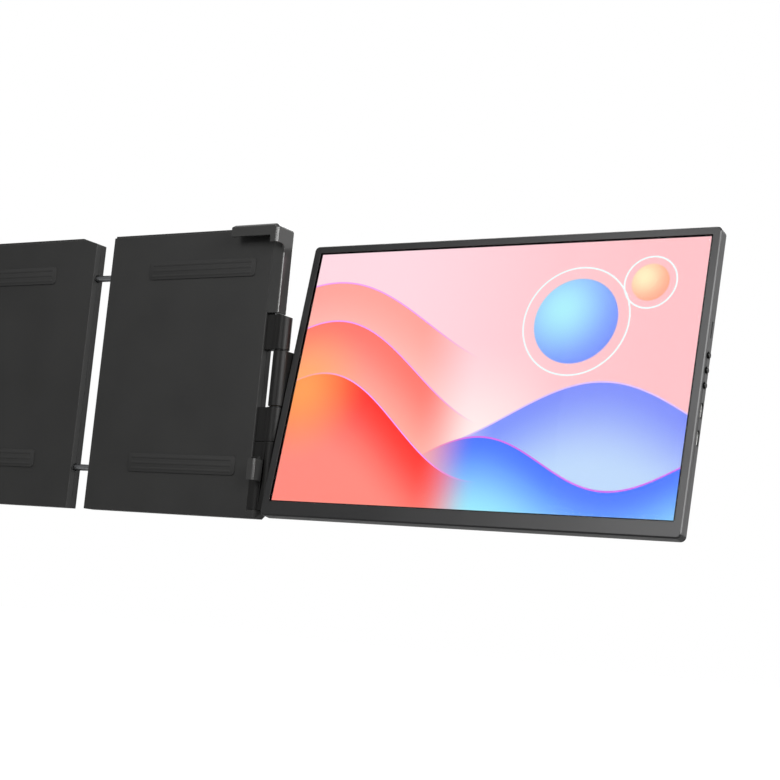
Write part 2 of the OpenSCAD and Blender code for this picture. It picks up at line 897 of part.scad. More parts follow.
module front_bezel() {
    color(bezel_colour) on_screen() difference() {
        plate(-bezel_left, right_u, -bezel_bottom, top_v, 0, seam_depth, corner_r);
        plate(-black_edge, picture_w + black_edge, -black_edge, picture_h + black_edge,
              -1, seam_depth + 1, 1);
        plate(-bezel_left + case_wall, right_u - case_wall, -bezel_bottom + case_wall,
              top_v - case_wall, lip_t, seam_depth + 1, corner_r - case_wall);
    }
}

// One layer of the display, from w1 to w2, reaching past the picture by over
module layer(w1, w2, over) {
    on_screen() plate(-over, picture_w + over, -over, picture_h + over, w1, w2, 1);
}

module cover_glass() {
    color("#20232a") layer(glass_w, panel_w, stack_over);
}

module display_panel() {
    color("#f0a8a8") layer(panel_w, backlight_w, stack_over);
}

module backlight() {
    color("#e8e8e8") layer(backlight_w, chassis_w, stack_over);
}

module chassis() {
    color(steel_colour) on_screen() difference() {
        union() {
            plate(-bezel_left + case_wall + stack_gap, right_u - 8,
                  -bezel_bottom + case_wall + stack_gap, top_v - case_wall - stack_gap,
                  chassis_w, chassis_back_w, 1);
            for (p = post_spots)
                rod_y(p[0], chassis_w, back_inner_w, p[1], chassis_post_r);
        }
        for (p = post_spots)
            rod_y(p[0], chassis_back_w, back_inner_w + 1, p[1], rear_screw_r);
    }
}

module rear_cover() {
    side = 0.8;
    color(bezel_colour) on_screen() difference() {
        union() {
            plate(-bezel_left, right_u, -bezel_bottom, top_v, seam_depth,
                  screen_t - side, corner_r);
            plate(-bezel_left + side, right_u - side, -bezel_bottom + side, top_v - side,
                  screen_t - side, screen_t, corner_r - side);
        }
        plate(-bezel_left + case_wall, right_u - case_wall, -bezel_bottom + case_wall,
              top_v - case_wall, seam_depth - 1, back_inner_w, corner_r - case_wall);
        // slot for the tilt bracket
        block([tilt_u + 3, back_inner_w - 1, tilt_v - bracket_half_v - 0.3],
              [tilt_end_u - 3, screen_t + 1, tilt_v + bracket_half_v + 0.3]);
        for (step = [-1, 0, 1]) {
            rod_x(right_u - case_wall - 1, right_u + 1, button_w,
                  button_v + step * button_pitch, button_r + button_play);
            rod_x(right_u - dish_depth, right_u + 1, button_w,
                  button_v + step * button_pitch, dish_r);
        }
        for (v = [port_upper_v, port_lower_v])
            port_body(v, port_long, port_short, right_u - case_wall - 1, right_u + 1);
        side_slot(0, right_u - case_wall - 1, right_u + 1);
        for (p = post_spots) {
            rod_y(p[0], back_inner_w - 1, screen_t + 1, p[1], rear_screw_r + 0.1);
            rod_y(p[0], screen_t - rear_head_t, screen_t + 1, p[1], rear_head_r + 0.1);
        }
    }
}

// A slot with round ends on the right side, from u1 to u2
module port_body(v, long, short, u1, u2) {
    straight = long - short;
    rod_x(u1, u2, port_w, v - straight / 2, short / 2);
    rod_x(u1, u2, port_w, v + straight / 2, short / 2);
    block([u1, port_w - short / 2, v - straight / 2],
          [u2, port_w + short / 2, v + straight / 2]);
}

module side_slot(inset, u1, u2) {
    block([u1, grille_w - grille_short / 2 + inset, grille_v - grille_l / 2 + inset],
          [u2, grille_w + grille_short / 2 - inset, grille_v + grille_l / 2 - inset]);
}

module side_grille() {
    hole_r = 0.35;
    holes = 5;
    color("#161616") on_screen() difference() {
        union() {
            side_slot(0, right_u - case_wall, right_u - 0.5);
            side_slot(-0.7, right_u - case_wall - 0.8, right_u - case_wall);
        }
        for (i = [0 : holes - 1])
            rod_x(right_u - case_wall - 2, right_u, grille_w,
                  grille_v + (i - (holes - 1) / 2) * grille_l / (holes + 1), hole_r);
    }
}

module usb_shells() {
    color("#b9bbbd") on_screen()
        for (v = [port_upper_v, port_lower_v])
            difference() {
                port_body(v, port_long, port_short, right_u - port_depth, right_u - 0.1);
                port_body(v, port_long - 2 * port_wall, port_short - 2 * port_wall,
                          right_u - port_depth + 1, right_u + 1);
            }
}

module usb_tongues() {
    tongue_l = 6.2;
    tongue_t = 0.7;
    color("#1a1a1a") on_screen()
        for (v = [port_upper_v, port_lower_v])
            block([right_u - port_depth + 1, port_w - tongue_t / 2, v - tongue_l / 2],
                  [right_u - 1.2, port_w + tongue_t / 2, v + tongue_l / 2]);
}

// Main board: carries the ports, in the lower right of the screen
module controller_board() {
    board_w = 44;
    board_over = 14;
    board_v1 = port_lower_v - board_over;
    board_v2 = port_upper_v + board_over;
    chip = 12;
    color(board_colour) on_screen() union() {
        block([right_u - port_depth - board_w, port_w - board_t / 2, board_v1],
              [right_u - port_depth, port_w + board_t / 2, board_v2]);
        block([right_u - port_depth - board_w / 2 - chip / 2, port_w + board_t / 2 - eps,
               (board_v1 + board_v2) / 2 - chip / 2],
              [right_u - port_depth - board_w / 2 + chip / 2, back_inner_w - 0.2,
               (board_v1 + board_v2) / 2 + chip / 2]);
    }
}

// Small upright board with a switch behind each button
module button_board() {
    reach = button_pitch + 4;
    switch_t = 0.4;
    color(board_colour) on_screen() union() {
        block([right_u - button_board_x - board_t, chassis_w + 0.2, button_v - reach],
              [right_u - button_board_x, back_inner_w, button_v + reach]);
        for (step = [-1, 0, 1])
            rod_x(right_u - button_board_x - eps, right_u - button_board_x + switch_t,
                  button_w, button_v + step * button_pitch, 1.3);
    }
}

module speakers() {
    box_l = 42;
    box_h = 14;
    color("#202122") on_screen()
        for (u = [24, picture_w - 24 - box_l])
            plate(u, u + box_l, 8, 8 + box_h, chassis_back_w, back_inner_w - 0.1, 2);
}

module rear_screws() {
    color(steel_colour) on_screen()
        for (p = post_spots)
            union() {
                rod_y(p[0], chassis_back_w + 0.3, screen_t - rear_head_t + eps, p[1],
                      rear_screw_r);
                rod_y(p[0], screen_t - rear_head_t, screen_t - 0.1, p[1], rear_head_r);
            }
}

// A button: a round stem with a chamfered face and an inner flange
module button(step) {
    face_u = right_u + button_proud;
    flange_u = right_u - case_wall - button_rest_gap;
    v = button_v + step * button_pitch;
    color("#101010") on_screen() union() {
        rod_x(flange_u - button_flange_t, face_u - button_edge, button_w, v, button_r);
        translate([face_u - button_edge, button_w, v]) rotate([0, 90, 0])
            cylinder(h = button_edge, r1 = button_r, r2 = button_r - button_edge);
        rod_x(flange_u - button_flange_t, flange_u, button_w, v, button_flange_r);
    }
}

module upper_button() {
    button(1);
}

module middle_button() {
    button(0);
}

module lower_button() {
    button(-1);
}

// ---- tilt hinge on the screen ----

// Steel barrel on a foot that passes through the rear cover to the chassis
module tilt_bracket() {
    web_half = 1.6;
    color(steel_colour) on_screen() difference() {
        union() {
            rod_x(tilt_u, tilt_end_u, tilt_w, tilt_v, tilt_barrel_r);
            block([tilt_u + 3.3, chassis_back_w + 1.2 - eps, tilt_v - web_half],
                  [tilt_end_u - 3.3, tilt_w, tilt_v + web_half]);
            block([tilt_u + 3.3, chassis_back_w, tilt_v - bracket_half_v],
                  [tilt_end_u - 3.3, chassis_back_w + 1.2, tilt_v + bracket_half_v]);
        }
        rod_x(tilt_u - 1, tilt_end_u + 1, tilt_w, tilt_v, tilt_pin_r + pin_play);
    }
}

// Plastic cover over the tilt barrel, open towards the arm
module tilt_cover() {
    inner_r = tilt_barrel_r + cover_room;
    half_v = cover_r + 4;
    trim_v = 30;
    color(bezel_colour) on_screen() difference() {
        union() {
            rod_x(-bezel_left + 0.8, cover_end_u, tilt_w, tilt_v, cover_r);
            block([-bezel_left + 0.8, screen_t, tilt_v - cover_r],
                  [cover_end_u, tilt_w, tilt_v + cover_r]);
            block([-bezel_left + 0.8, screen_t, tilt_v - half_v],
                  [cover_end_u, screen_t + 1.4, tilt_v + half_v]);
        }
        rod_x(-bezel_left - 1, cover_end_u - tilt_cover_wall, tilt_w, tilt_v, inner_r);
        block([-bezel_left - 1, screen_t - 5, tilt_v - inner_r],
              [cover_end_u - tilt_cover_wall, tilt_w, tilt_v + inner_r]);
        block([-bezel_left - 1, 0, tilt_v - trim_v],
              [cover_end_u + 1, screen_t, tilt_v + trim_v]);
    }
}

right_front_shell();
right_rear_cover();
right_spine();
right_corner_clip();
right_side_rail();
right_side_clip();
right_lid_pads();
right_clip_foam();
right_shell_screws();
right_column_screws();
right_end_cap();
upper_knuckle();
lower_knuckle();
hinge_pin();
hinge_washers();
width_rods();
rod_anchors();
left_front_shell();
left_rear_cover();
left_spine();
left_corner_clip();
left_side_rail();
left_side_clip();
left_lid_pads();
left_clip_foam();
left_shell_screws();
left_column_screws();
left_end_cap();
rod_guides();
kickstand();
kickstand_foot();
kickstand_pins();
hinge_arm();
hinge_bushes();
tilt_pin();
tilt_washers();
tilt_nut();
tilt_bracket();
tilt_cover();
front_bezel();
cover_glass();
display_panel();
backlight();
chassis();
rear_cover();
rear_screws();
controller_board();
button_board();
speakers();
usb_shells();
usb_tongues();
side_grille();
upper_button();
middle_button();
lower_button();
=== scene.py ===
import math

import bpy
from mathutils import Matrix, Vector


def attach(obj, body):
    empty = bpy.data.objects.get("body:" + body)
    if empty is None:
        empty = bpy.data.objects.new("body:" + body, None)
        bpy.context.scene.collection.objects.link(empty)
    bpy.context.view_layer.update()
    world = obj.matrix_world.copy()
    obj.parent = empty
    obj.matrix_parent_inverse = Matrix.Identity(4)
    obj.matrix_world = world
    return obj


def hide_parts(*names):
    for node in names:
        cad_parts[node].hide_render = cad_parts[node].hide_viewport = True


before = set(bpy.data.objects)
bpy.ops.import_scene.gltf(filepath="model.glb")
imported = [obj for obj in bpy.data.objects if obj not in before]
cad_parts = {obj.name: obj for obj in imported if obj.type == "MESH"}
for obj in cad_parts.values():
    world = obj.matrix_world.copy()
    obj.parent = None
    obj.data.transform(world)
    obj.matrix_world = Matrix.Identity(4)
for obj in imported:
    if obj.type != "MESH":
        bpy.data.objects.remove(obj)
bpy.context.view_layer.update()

MM = 0.001

# Places and sizes shared by several pieces, in millimetres. On the screen, x runs along the
# picture and z up it from its lower left corner, and y runs back from the bezel's front.
LEAN = math.radians(10.2)                           # the screen leans back by this much
PIVOT = Vector((190.5, 23.093, -110.0))             # the tilt pin's middle, at rest
PIVOT_ON_SCREEN = Vector((0.0, 14.6, 92.75))        # the same point on the screen
PICTURE_W, PICTURE_H = 301.0, 188.5
RIGHT_U = PICTURE_W + 6.2                           # the casing's right side
BACK_Y = 11.9                                       # the plane of the frame's back

# Edges sharper than this, in degrees, are broken, and stay sharp in the shading
SHARP = 35

# From the screen's own coordinates to its place in the world
SCREEN = (
    Matrix.Translation(PIVOT * MM)
    @ Matrix.Rotation(-LEAN, 4, "X")
    @ Matrix.Translation(-PIVOT_ON_SCREEN * MM)
)


# ---- small tools ----


def only(piece):
    """Leaves this piece alone selected and active."""
    if bpy.context.object and bpy.context.object.mode != "OBJECT":
        bpy.ops.object.mode_set(mode="OBJECT")
    bpy.ops.object.select_all(action="DESELECT")
    piece.select_set(True)
    bpy.context.view_layer.objects.active = piece


def place(piece):
    """Puts an object's place, turn and size into its mesh."""
    only(piece)
    bpy.ops.object.transform_apply(location=True, rotation=True, scale=True)


def block(name, low, high):
    """A block between two corners, given in millimetres."""
    low, high = Vector(low), Vector(high)
    bpy.ops.object.select_all(action="DESELECT")
    bpy.ops.mesh.primitive_cube_add(size=1, location=(low + high) / 2 * MM)
    piece = bpy.context.object
    piece.name = name
    piece.data.name = name
    piece.scale = (high - low) * MM
    place(piece)
    return piece


def post(name, centre, radius, length, axis, sides=48):
    """A round post centred on a point, along X or Y, in millimetres."""
    turn = {"X": (0, math.pi / 2, 0), "Y": (-math.pi / 2, 0, 0)}[axis]
    bpy.ops.object.select_all(action="DESELECT")
    bpy.ops.mesh.primitive_cylinder_add(
        vertices=sides, radius=radius * MM, depth=length * MM,
        location=Vector(centre) * MM, rotation=turn,
    )
    piece = bpy.context.object
    piece.name = name
    piece.data.name = name
    place(piece)
    return piece


def close():
    """Leaves edit mode."""
    bpy.ops.object.mode_set(mode="OBJECT")


def pick(piece, kind, test, sharper=0):
    """Opens edit mode with the faces, or the edges, that pass the test selected. Edges may
    be limited to those sharper than an angle."""
    only(piece)
    mesh = piece.data
    bpy.context.tool_settings.mesh_select_mode = (False, kind == "EDGE", kind == "FACE")
    bpy.ops.object.mode_set(mode="EDIT")
    bpy.ops.mesh.select_all(action="DESELECT")
    if sharper:
        bpy.ops.mesh.edges_select_sharp(sharpness=math.radians(sharper))
    close()
    sharp = [edge.select for edge in mesh.edges]
    for group in (mesh.vertices, mesh.edges, mesh.polygons):
        group.foreach_set("select", [False] * len(group))
    if kind == "FACE":
        for face in mesh.polygons:
            face.select = test(face.center / MM, face.normal)
    else:
        for edge, is_sharp in zip(mesh.edges, sharp):
            a, b = (mesh.vertices[i].co / MM for i in edge.vertices)
            edge.select = (is_sharp or not sharper) and test(a, b)
    bpy.ops.object.mode_set(mode="EDIT")


def apply(piece, kind, **settings):
    """Adds a modifier, sets it and applies it."""
    only(piece)
    made = piece.modifiers.new(kind.title(), kind)
    for key, value in settings.items():
        setattr(made, key, value)
    bpy.ops.object.modifier_apply(modifier=made.name)


def even_out(piece, angle=SHARP):
    """Drops faces of no size, and shades flat faces flat and rounded edges round."""
    only(piece)
    bpy.ops.object.mode_set(mode="EDIT")
    bpy.ops.mesh.select_all(action="SELECT")
    bpy.ops.mesh.dissolve_degenerate(threshold=1e-6)
    close()
    bpy.ops.object.shade_smooth_by_angle(angle=math.radians(angle))
    apply(piece, "WEIGHTED_NORMAL", keep_sharp=True, weight=80)


def soften(piece, width, steps=3, angle=SHARP):
    """Breaks the sharp edges by width, in millimetres."""
    apply(piece, "BEVEL", width=width * MM, segments=steps, limit_method="ANGLE",
          angle_limit=math.radians(angle), use_clamp_overlap=False)
    even_out(piece, angle)


def round_off(piece, width, test):
    """Breaks those sharp edges that have an end where the test holds."""
    pick(piece, "EDGE", lambda a, b: test(a) or test(b), sharper=SHARP)
    bpy.ops.mesh.bevel(offset=width * MM, segments=3, affect="EDGES", clamp_overlap=False)
    close()
    even_out(piece)


def merged_copy(node, name):
    """A copy of a CAD solid with its loose triangles merged into whole faces."""
    piece = bpy.data.objects.new(name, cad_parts[node].data.copy())
    bpy.context.scene.collection.objects.link(piece)
    only(piece)
    bpy.ops.mesh.customdata_custom_splitnormals_clear()
    bpy.ops.object.mode_set(mode="EDIT")
    bpy.ops.mesh.select_all(action="SELECT")
    bpy.ops.mesh.remove_doubles(threshold=2e-6)
    bpy.ops.mesh.dissolve_limited(angle_limit=math.radians(0.4))
    close()
    return piece


def cut(piece, cutter):
    """Takes the cutter's shape out of the piece and removes the cutter."""
    apply(piece, "BOOLEAN", operation="DIFFERENCE", object=cutter, solver="EXACT")
    bpy.data.objects.remove(cutter)


def joined(name, pieces):
    """One object made of several."""
    only(pieces[0])
    for piece in pieces[1:]:
        piece.select_set(True)
    bpy.ops.object.join()
    pieces[0].name = name
    pieces[0].data.name = name
    return pieces[0]


def moved_copy(piece, name, shift):
    """A copy with a mesh of its own, moved by a distance in millimetres."""
    twin = piece.copy()
    twin.data = piece.data.copy()
    twin.name = name
    bpy.context.scene.collection.objects.link(twin)
    twin.data.transform(Matrix.Translation(Vector(shift) * MM))
    return twin


def hand_in(piece, body, finish, nodes, on_screen=False):
    """Gives a finished piece its material, its body and the solids that it stands for."""
    if on_screen:
        piece.data.transform(SCREEN)
    if finish is not None:
        piece.data.materials.clear()
        piece.data.materials.append(finish)
    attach(piece, body)
    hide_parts(*nodes)


# ---- materials ----


def linear(code):
    """An sRGB hex colour as linear red, green, blue and alpha."""
    parts = [int(code[i:i + 2], 16) / 255 for i in (1, 3, 5)]
    return [p / 12.92 if p <= 0.04045 else ((p + 0.055) / 1.055) ** 2.4 for p in parts] + [1.0]


def add(tree, kind, settings=None, inputs=None):
    """Adds a node with its settings, and sets or links its inputs."""
    made = tree.nodes.new(kind)
    for key, value in (settings or {}).items():
        setattr(made, key, value)
    for key, value in (inputs or {}).items():
        if isinstance(value, bpy.types.NodeSocket):
            tree.links.new(value, made.inputs[key])
        else:
            made.inputs[key].default_value = value
    return made


def finish_named(name, **sockets):
    """A material with its main shader set. Returns the material, its tree and the shader."""
    made = bpy.data.materials.new(name)
    made.use_nodes = True
    shader = made.node_tree.nodes["Principled BSDF"]
    for key, value in sockets.items():
        shader.inputs[key.replace("_", " ")].default_value = value
    return made, made.node_tree, shader


def grain(tree, shader, dark, light, patch_mm, grain_mm, rough, depth_mm, stretch=(1, 1, 1)):
    """Slow patches of colour and gloss, and a fine grain that stands in relief. Grains finer
    than about 0.5 mm would not show, so they are drawn at the size given, coarser than real."""
    where = add(tree, "ShaderNodeTexCoord")
    stretched = add(tree, "ShaderNodeMapping", None,
                    {"Vector": where.outputs["Object"], "Scale": stretch})
    patches = add(tree, "ShaderNodeTexNoise", None,
                  {"Vector": stretched.outputs[0], "Scale": 1000 / patch_mm, "Detail": 3.0})
    fine = add(tree, "ShaderNodeTexNoise", None,
               {"Vector": stretched.outputs[0], "Scale": 1000 / grain_mm, "Detail": 4.0,
                "Roughness": 0.6})
    both = add(tree, "ShaderNodeMix", {"data_type": "FLOAT"},
               {0: 0.35, 2: patches.outputs[0], 3: fine.outputs[0]})
    colour = add(tree, "ShaderNodeMix", {"data_type": "RGBA"},
                 {0: both.outputs[0], 6: linear(dark), 7: linear(light)})
    gloss = add(tree, "ShaderNodeMapRange", None,
                {0: both.outputs[0], 1: 0.3, 2: 0.7, 3: rough[0], 4: rough[1]})
    relief = add(tree, "ShaderNodeBump", None,
                 {"Strength": 0.6, "Distance": depth_mm * MM, "Height": fine.outputs[0]})
    tree.links.new(colour.outputs[2], shader.inputs["Base Color"])
    tree.links.new(gloss.outputs[0], shader.inputs["Roughness"])
    tree.links.new(relief.outputs[0], shader.inputs["Normal"])
    return where


# Black anodised aluminium, bead-blasted: a satin near-black that runs softly from dark to
# light round a barrel, with a grain of 0.2 mm drawn at 0.7 mm so that it shows
anodised, tree, shader = finish_named(
    "anodised_aluminium_blasted", Metallic=0.3, Specular_IOR_Level=0.35
)
grain(tree, shader, "#131212", "#1a1a19", 45, 0.7, (0.40, 0.50), 0.012)

# The same alloy on the screen's casing, a little lighter and finer in grain
casing, tree, shader = finish_named("anodised_aluminium_casing", Metallic=0.4)
grain(tree, shader, "#272728", "#2d2d2d", 60, 0.6, (0.28, 0.36), 0.012)

# The same alloy on the hooks of the clips, paler as painted light on their fronts, with more
# shine
hook_metal_painted_light, tree, shader = finish_named("anodised_aluminium_hook_painted_light", Metallic=0.4)
grain(tree, shader, "#414141", "#494948", 45, 0.7, (0.17, 0.25), 0.012)

# Moulded ABS with a spark-eroded grain: dull, with small bright specks on the grain's tips
abs_plastic, tree, shader = finish_named("abs_moulded_grained", Specular_IOR_Level=0.35)
grain(tree, shader, "#222222", "#2b2b2a", 50, 0.9, (0.42, 0.56), 0.03)

# Ground spring steel: fine lines round the part
steel, tree, shader = finish_named("steel_ground", Metallic=1.0)
grain(tree, shader, "#8b8d90", "#b4b6b8", 30, 1.2, (0.22, 0.36), 0.006, (0.15, 1, 1))

# Steel blackened in an oxide bath, and oiled: near black with a soft shine
black_steel, tree, shader = finish_named("steel_black_oxide", Metallic=0.8)
grain(tree, shader, "#1f1f20", "#2c2b2a", 15, 0.8, (0.3, 0.42), 0.006)

# Rolled aluminium sheet: long faint lines and a cool grey
sheet_metal, tree, shader = finish_named("aluminium_rolled_sheet", Metallic=1.0)
grain(tree, shader, "#b2b5b8", "#c6c8ca", 40, 1.0, (0.30, 0.42), 0.004, (0.1, 1, 1))

# Sintered bronze: brown-gold, full of small pores
bronze, tree, shader = finish_named("bronze_sintered", Metallic=1.0)
grain(tree, shader, "#8a6a35", "#b08c4e", 12, 0.5, (0.35, 0.5), 0.02)

# Acetal: milky white and slightly waxy
acetal, tree, shader = finish_named("acetal_moulded")
grain(tree, shader, "#dcdcd6", "#e9e9e4", 30, 0.8, (0.30, 0.42), 0.01)

# Silicone rubber: near black, dull, with a trace of dust in the relief
rubber, tree, shader = finish_named("silicone_rubber_moulded")
grain(tree, shader, "#161616", "#232322", 20, 0.6, (0.62, 0.8), 0.03)

# Closed-cell foam: pitted, black and without gloss
foam, tree, shader = finish_named("closed_cell_foam")
grain(tree, shader, "#121212", "#262626", 6, 0.7, (0.85, 0.95), 0.15)

# Black acetal buttons, turned and lightly rubbed: a low gloss that shows on the dish's rim
button_black, tree, shader = finish_named("acetal_turned_black", Specular_IOR_Level=0.35)
grain(tree, shader, "#050505", "#0b0b0b", 8, 0.9, (0.18, 0.26), 0.002)

# Smooth black moulding for tongues, grilles and speaker boxes: dark, with little shine
black_abs, tree, shader = finish_named("abs_smooth_black", Specular_IOR_Level=0.2)
grain(tree, shader, "#0a0a0a", "#111111", 15, 0.8, (0.4, 0.55), 0.01)

# Nickel-plated drawn steel: pale and bright, with faint draw lines along the shell
nickel, tree, shader = finish_named("steel_nickel_plated", Metallic=1.0)
grain(tree, shader, "#d6d6d4", "#e8e8e5", 10, 0.5, (0.48, 0.6), 0.003, (0.2, 1, 1))

# White reflector film behind the panel: smooth, bright and even
film, tree, shader = finish_named("polyester_reflector_film")
grain(tree, shader, "#e2e2e2", "#f0f0f0", 40, 1.5, (0.25, 0.4), 0.003)

# Circuit board under green solder mask: a soft gloss, with paler tracks about 1 mm apart
board, tree, shader = finish_named("circuit_board_solder_mask", Coat_Weight=0.3)
where = grain(tree, shader, "#123d24", "#1a5231", 12, 1.0, (0.3, 0.4), 0.006)
tracks = add(tree, "ShaderNodeTexBrick", {"offset": 0.35},
             {"Vector": where.outputs["Object"], "Scale": 320.0, "Mortar Size": 0.04,
              "Color1": linear("#123d24"), "Color2": linear("#1a5231"),
              "Mortar": linear("#3c7a4f")})
tree.links.new(tracks.outputs["Color"], shader.inputs["Base Color"])

# Black ink on the glass's back, round the picture: a flat, even black. It also lines the bezel
# opening's walls, and in the ports' countersinks it is painted shade
ink_and_painted_shade, tree, shader = finish_named("black_ink_and_painted_shade", Specular_IOR_Level=0.15)
grain(tree, shader, "#040404", "#080808", 30, 1.5, (0.4, 0.5), 0.001)

# Toughened cover glass with an anti-reflection coat, which the low index stands for: clear,
# with faint finger marks that show only in its gloss
glass, tree, shader = finish_named(
    "toughened_cover_glass", Base_Color=(1, 1, 1, 1), Transmission_Weight=1.0, IOR=1.06
)
where = add(tree, "ShaderNodeTexCoord")
marks = add(tree, "ShaderNodeTexNoise", None,
            {"Vector": where.outputs["Object"], "Scale": 22.0, "Detail": 5.0})
gloss = add(tree, "ShaderNodeMapRange", None,
            {0: marks.outputs[0], 1: 0.4, 2: 0.7, 3: 0.0, 4: 0.06})
tree.links.new(gloss.outputs[0], shader.inputs["Roughness"])


def picture_material():
    """The lit picture: a liquid-crystal panel with its backlight on, drawn from plain
    shapes on a pink ground. Coordinates are millimetres from the lower left corner."""
    made, tree, shader = finish_named(
        "lit_display_panel", Base_Color=linear("#050505"), Roughness=0.6,
        Specular_IOR_Level=0.05, Emission_Strength=1.0
    )
    corner = add(tree, "ShaderNodeUVMap", {"uv_map": "Picture"})
    spot = add(tree, "ShaderNodeMapping", None,
               {"Vector": corner.outputs[0], "Scale": (PICTURE_W, PICTURE_W, 1)})
    x, y = add(tree, "ShaderNodeSeparateXYZ", None, {0: spot.outputs[0]}).outputs[:2]
    smooth = {"interpolation_type": "SMOOTHSTEP"}
    in_colour = {"data_type": "RGBA"}
    blur, line_half_width = 0.3, 0.6

    def glowing(ground, centre, reach, strength, colour):
        """The ground with a soft round glow on it."""
        away = add(tree, "ShaderNodeVectorMath", {"operation": "DISTANCE"},
                   {0: spot.outputs[0], 1: (*centre, 0)})
        share = add(tree, "ShaderNodeMapRange", smooth,
                    {0: away.outputs["Value"], 1: reach, 2: 0.0, 3: 0.0, 4: strength})
        glow = add(tree, "ShaderNodeMix", in_colour,
                   {0: share.outputs[0], 6: ground, 7: linear(colour)})
        return glow.outputs[2]

    def hill(ground, height, swing, length, start, fade, colours, share):
        """The ground with a wave laid over it, deep at its crest, paler under it and with
        a thin lit line along the crest. It fades out between two places along the picture."""
        paling_depth, line_depth = 62.0, 0.5
        pace = 2 * math.pi / length
        turn = add(tree, "ShaderNodeMath", {"operation": "MULTIPLY_ADD"},
                   {0: x, 1: pace, 2: -start * pace})
        rise = add(tree, "ShaderNodeMath", {"operation": "SINE"}, {0: turn.outputs[0]})
        crest = add(tree, "ShaderNodeMath", {"operation": "MULTIPLY_ADD"},
                    {0: rise.outputs[0], 1: swing, 2: height})
        depth = add(tree, "ShaderNodeMath", {"operation": "SUBTRACT"},
                    {0: crest.outputs[0], 1: y})
        pale = add(tree, "ShaderNodeMapRange", smooth,
                   {0: depth.outputs[0], 1: 0.0, 2: paling_depth, 3: 0.0, 4: 1.0})
        tone = add(tree, "ShaderNodeMix", in_colour,
                   {0: pale.outputs[0], 6: linear(colours[0]), 7: linear(colours[1])})
        side = add(tree, "ShaderNodeMapRange", smooth,
                   {0: x, 1: fade[0], 2: fade[1], 3: 0.0, 4: share})
        under = add(tree, "ShaderNodeMapRange", smooth,
                    {0: depth.outputs[0], 1: -blur, 2: blur, 3: 0.0, 4: side.outputs[0]})
        wave = add(tree, "ShaderNodeMix", in_colour,
                   {0: under.outputs[0], 6: ground, 7: tone.outputs[2]})
        line = add(tree, "ShaderNodeMath", {"operation": "COMPARE"},
                   {0: depth.outputs[0], 1: line_depth, 2: line_half_width})
        lit = add(tree, "ShaderNodeMath", {"operation": "MULTIPLY"},
                  {0: line.outputs[0], 1: side.outputs[0]})
        edged = add(tree, "ShaderNodeMix", in_colour,
                    {0: lit.outputs[0], 6: wave.outputs[2], 7: linear(colours[2])})
        return edged.outputs[2]

    def disc(ground, centre, size, colours, ring):
        """The ground with a shaded disc on it, and a thin ring round that."""
        away = add(tree, "ShaderNodeVectorMath", {"operation": "DISTANCE"},
                   {0: spot.outputs[0], 1: (*centre, 0)}).outputs["Value"]
        lit = (centre[0] - size * 0.35, centre[1] + size * 0.3)
        face = glowing(linear(colours[1]), lit, size * 1.5, 1.0, colours[0])
        inside = add(tree, "ShaderNodeMapRange", None,
                     {0: away, 1: size + blur, 2: size - blur, 3: 0.0, 4: 0.95})
        ball = add(tree, "ShaderNodeMix", in_colour,
                   {0: inside.outputs[0], 6: ground, 7: face})
        line = add(tree, "ShaderNodeMath", {"operation": "COMPARE"},
                   {0: away, 1: ring, 2: line_half_width})
        ringed = add(tree, "ShaderNodeMix", in_colour,
                     {0: line.outputs[0], 6: ball.outputs[2], 7: linear("#f4feff")})
        return ringed.outputs[2]

    across = add(tree, "ShaderNodeMapRange", smooth,
                 {0: x, 1: 40.0, 2: 290.0, 3: 0.0, 4: 1.0})
    ground = add(tree, "ShaderNodeMix", in_colour,
                 {0: across.outputs[0], 6: linear("#ffdbe4"), 7: linear("#ffc3c8")}).outputs[2]
    ground = glowing(ground, (150.0, 30.0), 95.0, 0.85, "#fffaf6")
    ground = hill(ground, 66.0, 24.0, 260.0, 175.0, (118.0, 170.0),
                  ("#6c8cff", "#b9dcff", "#e9c6ff"), 0.92)
    ground = hill(ground, 34.0, 17.0, 190.0, 110.0, (84.0, 128.0),
                  ("#4f7bff", "#a4f4ff", "#d873f0"), 1.0)
    ground = hill(ground, 132.0, 34.0, 330.0, -62.0, (150.0, 96.0),
                  ("#ff9a8a", "#ffc9bd", "#f6a0ff"), 0.85)
    ground = hill(ground, 96.0, 40.0, 300.0, -50.0, (156.0, 104.0),
                  ("#ff6f63", "#ffb3a4", "#f6a0ff"), 0.9)
    ground = hill(ground, 58.0, 38.0, 270.0, -44.0, (162.0, 112.0),
                  ("#ff3a34", "#ff8c80", "#f6a0ff"), 1.0)
    ground = glowing(ground, (6.0, 84.0), 60.0, 0.8, "#ffb060")
    ground = disc(ground, (214.0, 132.0), 30.0, ("#a8f2ff", "#6f95ff"), 38.0)
    ground = disc(ground, (263.0, 158.0), 13.0, ("#fff3c4", "#ffab8c"), 18.0)
    tree.links.new(ground, shader.inputs["Emission Color"])
    return made


picture = picture_material()


# ---- pieces ----

# The loaded solids come in selected
bpy.ops.object.select_all(action="DESELECT")

# Solids whose own shape is right and which lie inside, or show only their ends
PLAIN = (
    (steel, ("right_spine", "left_spine", "right_column_screws", "left_column_screws",
             "hinge_pin", "kickstand_pins", "tilt_pin", "tilt_nut")),
    (black_steel, ("hinge_washers", "tilt_washers")),
    (anodised, ("rod_anchors",)),
    (acetal, ("rod_guides",)),
    (bronze, ("hinge_bushes",)),
    (film, ("backlight",)),
    (sheet_metal, ("chassis",)),
    (board, ("controller_board", "button_board")),
    (black_abs, ("speakers",)),
)
for finish, names in PLAIN:
    for name in names:
        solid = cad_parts[name]
        solid.data.materials.clear()
        solid.data.materials.append(finish)

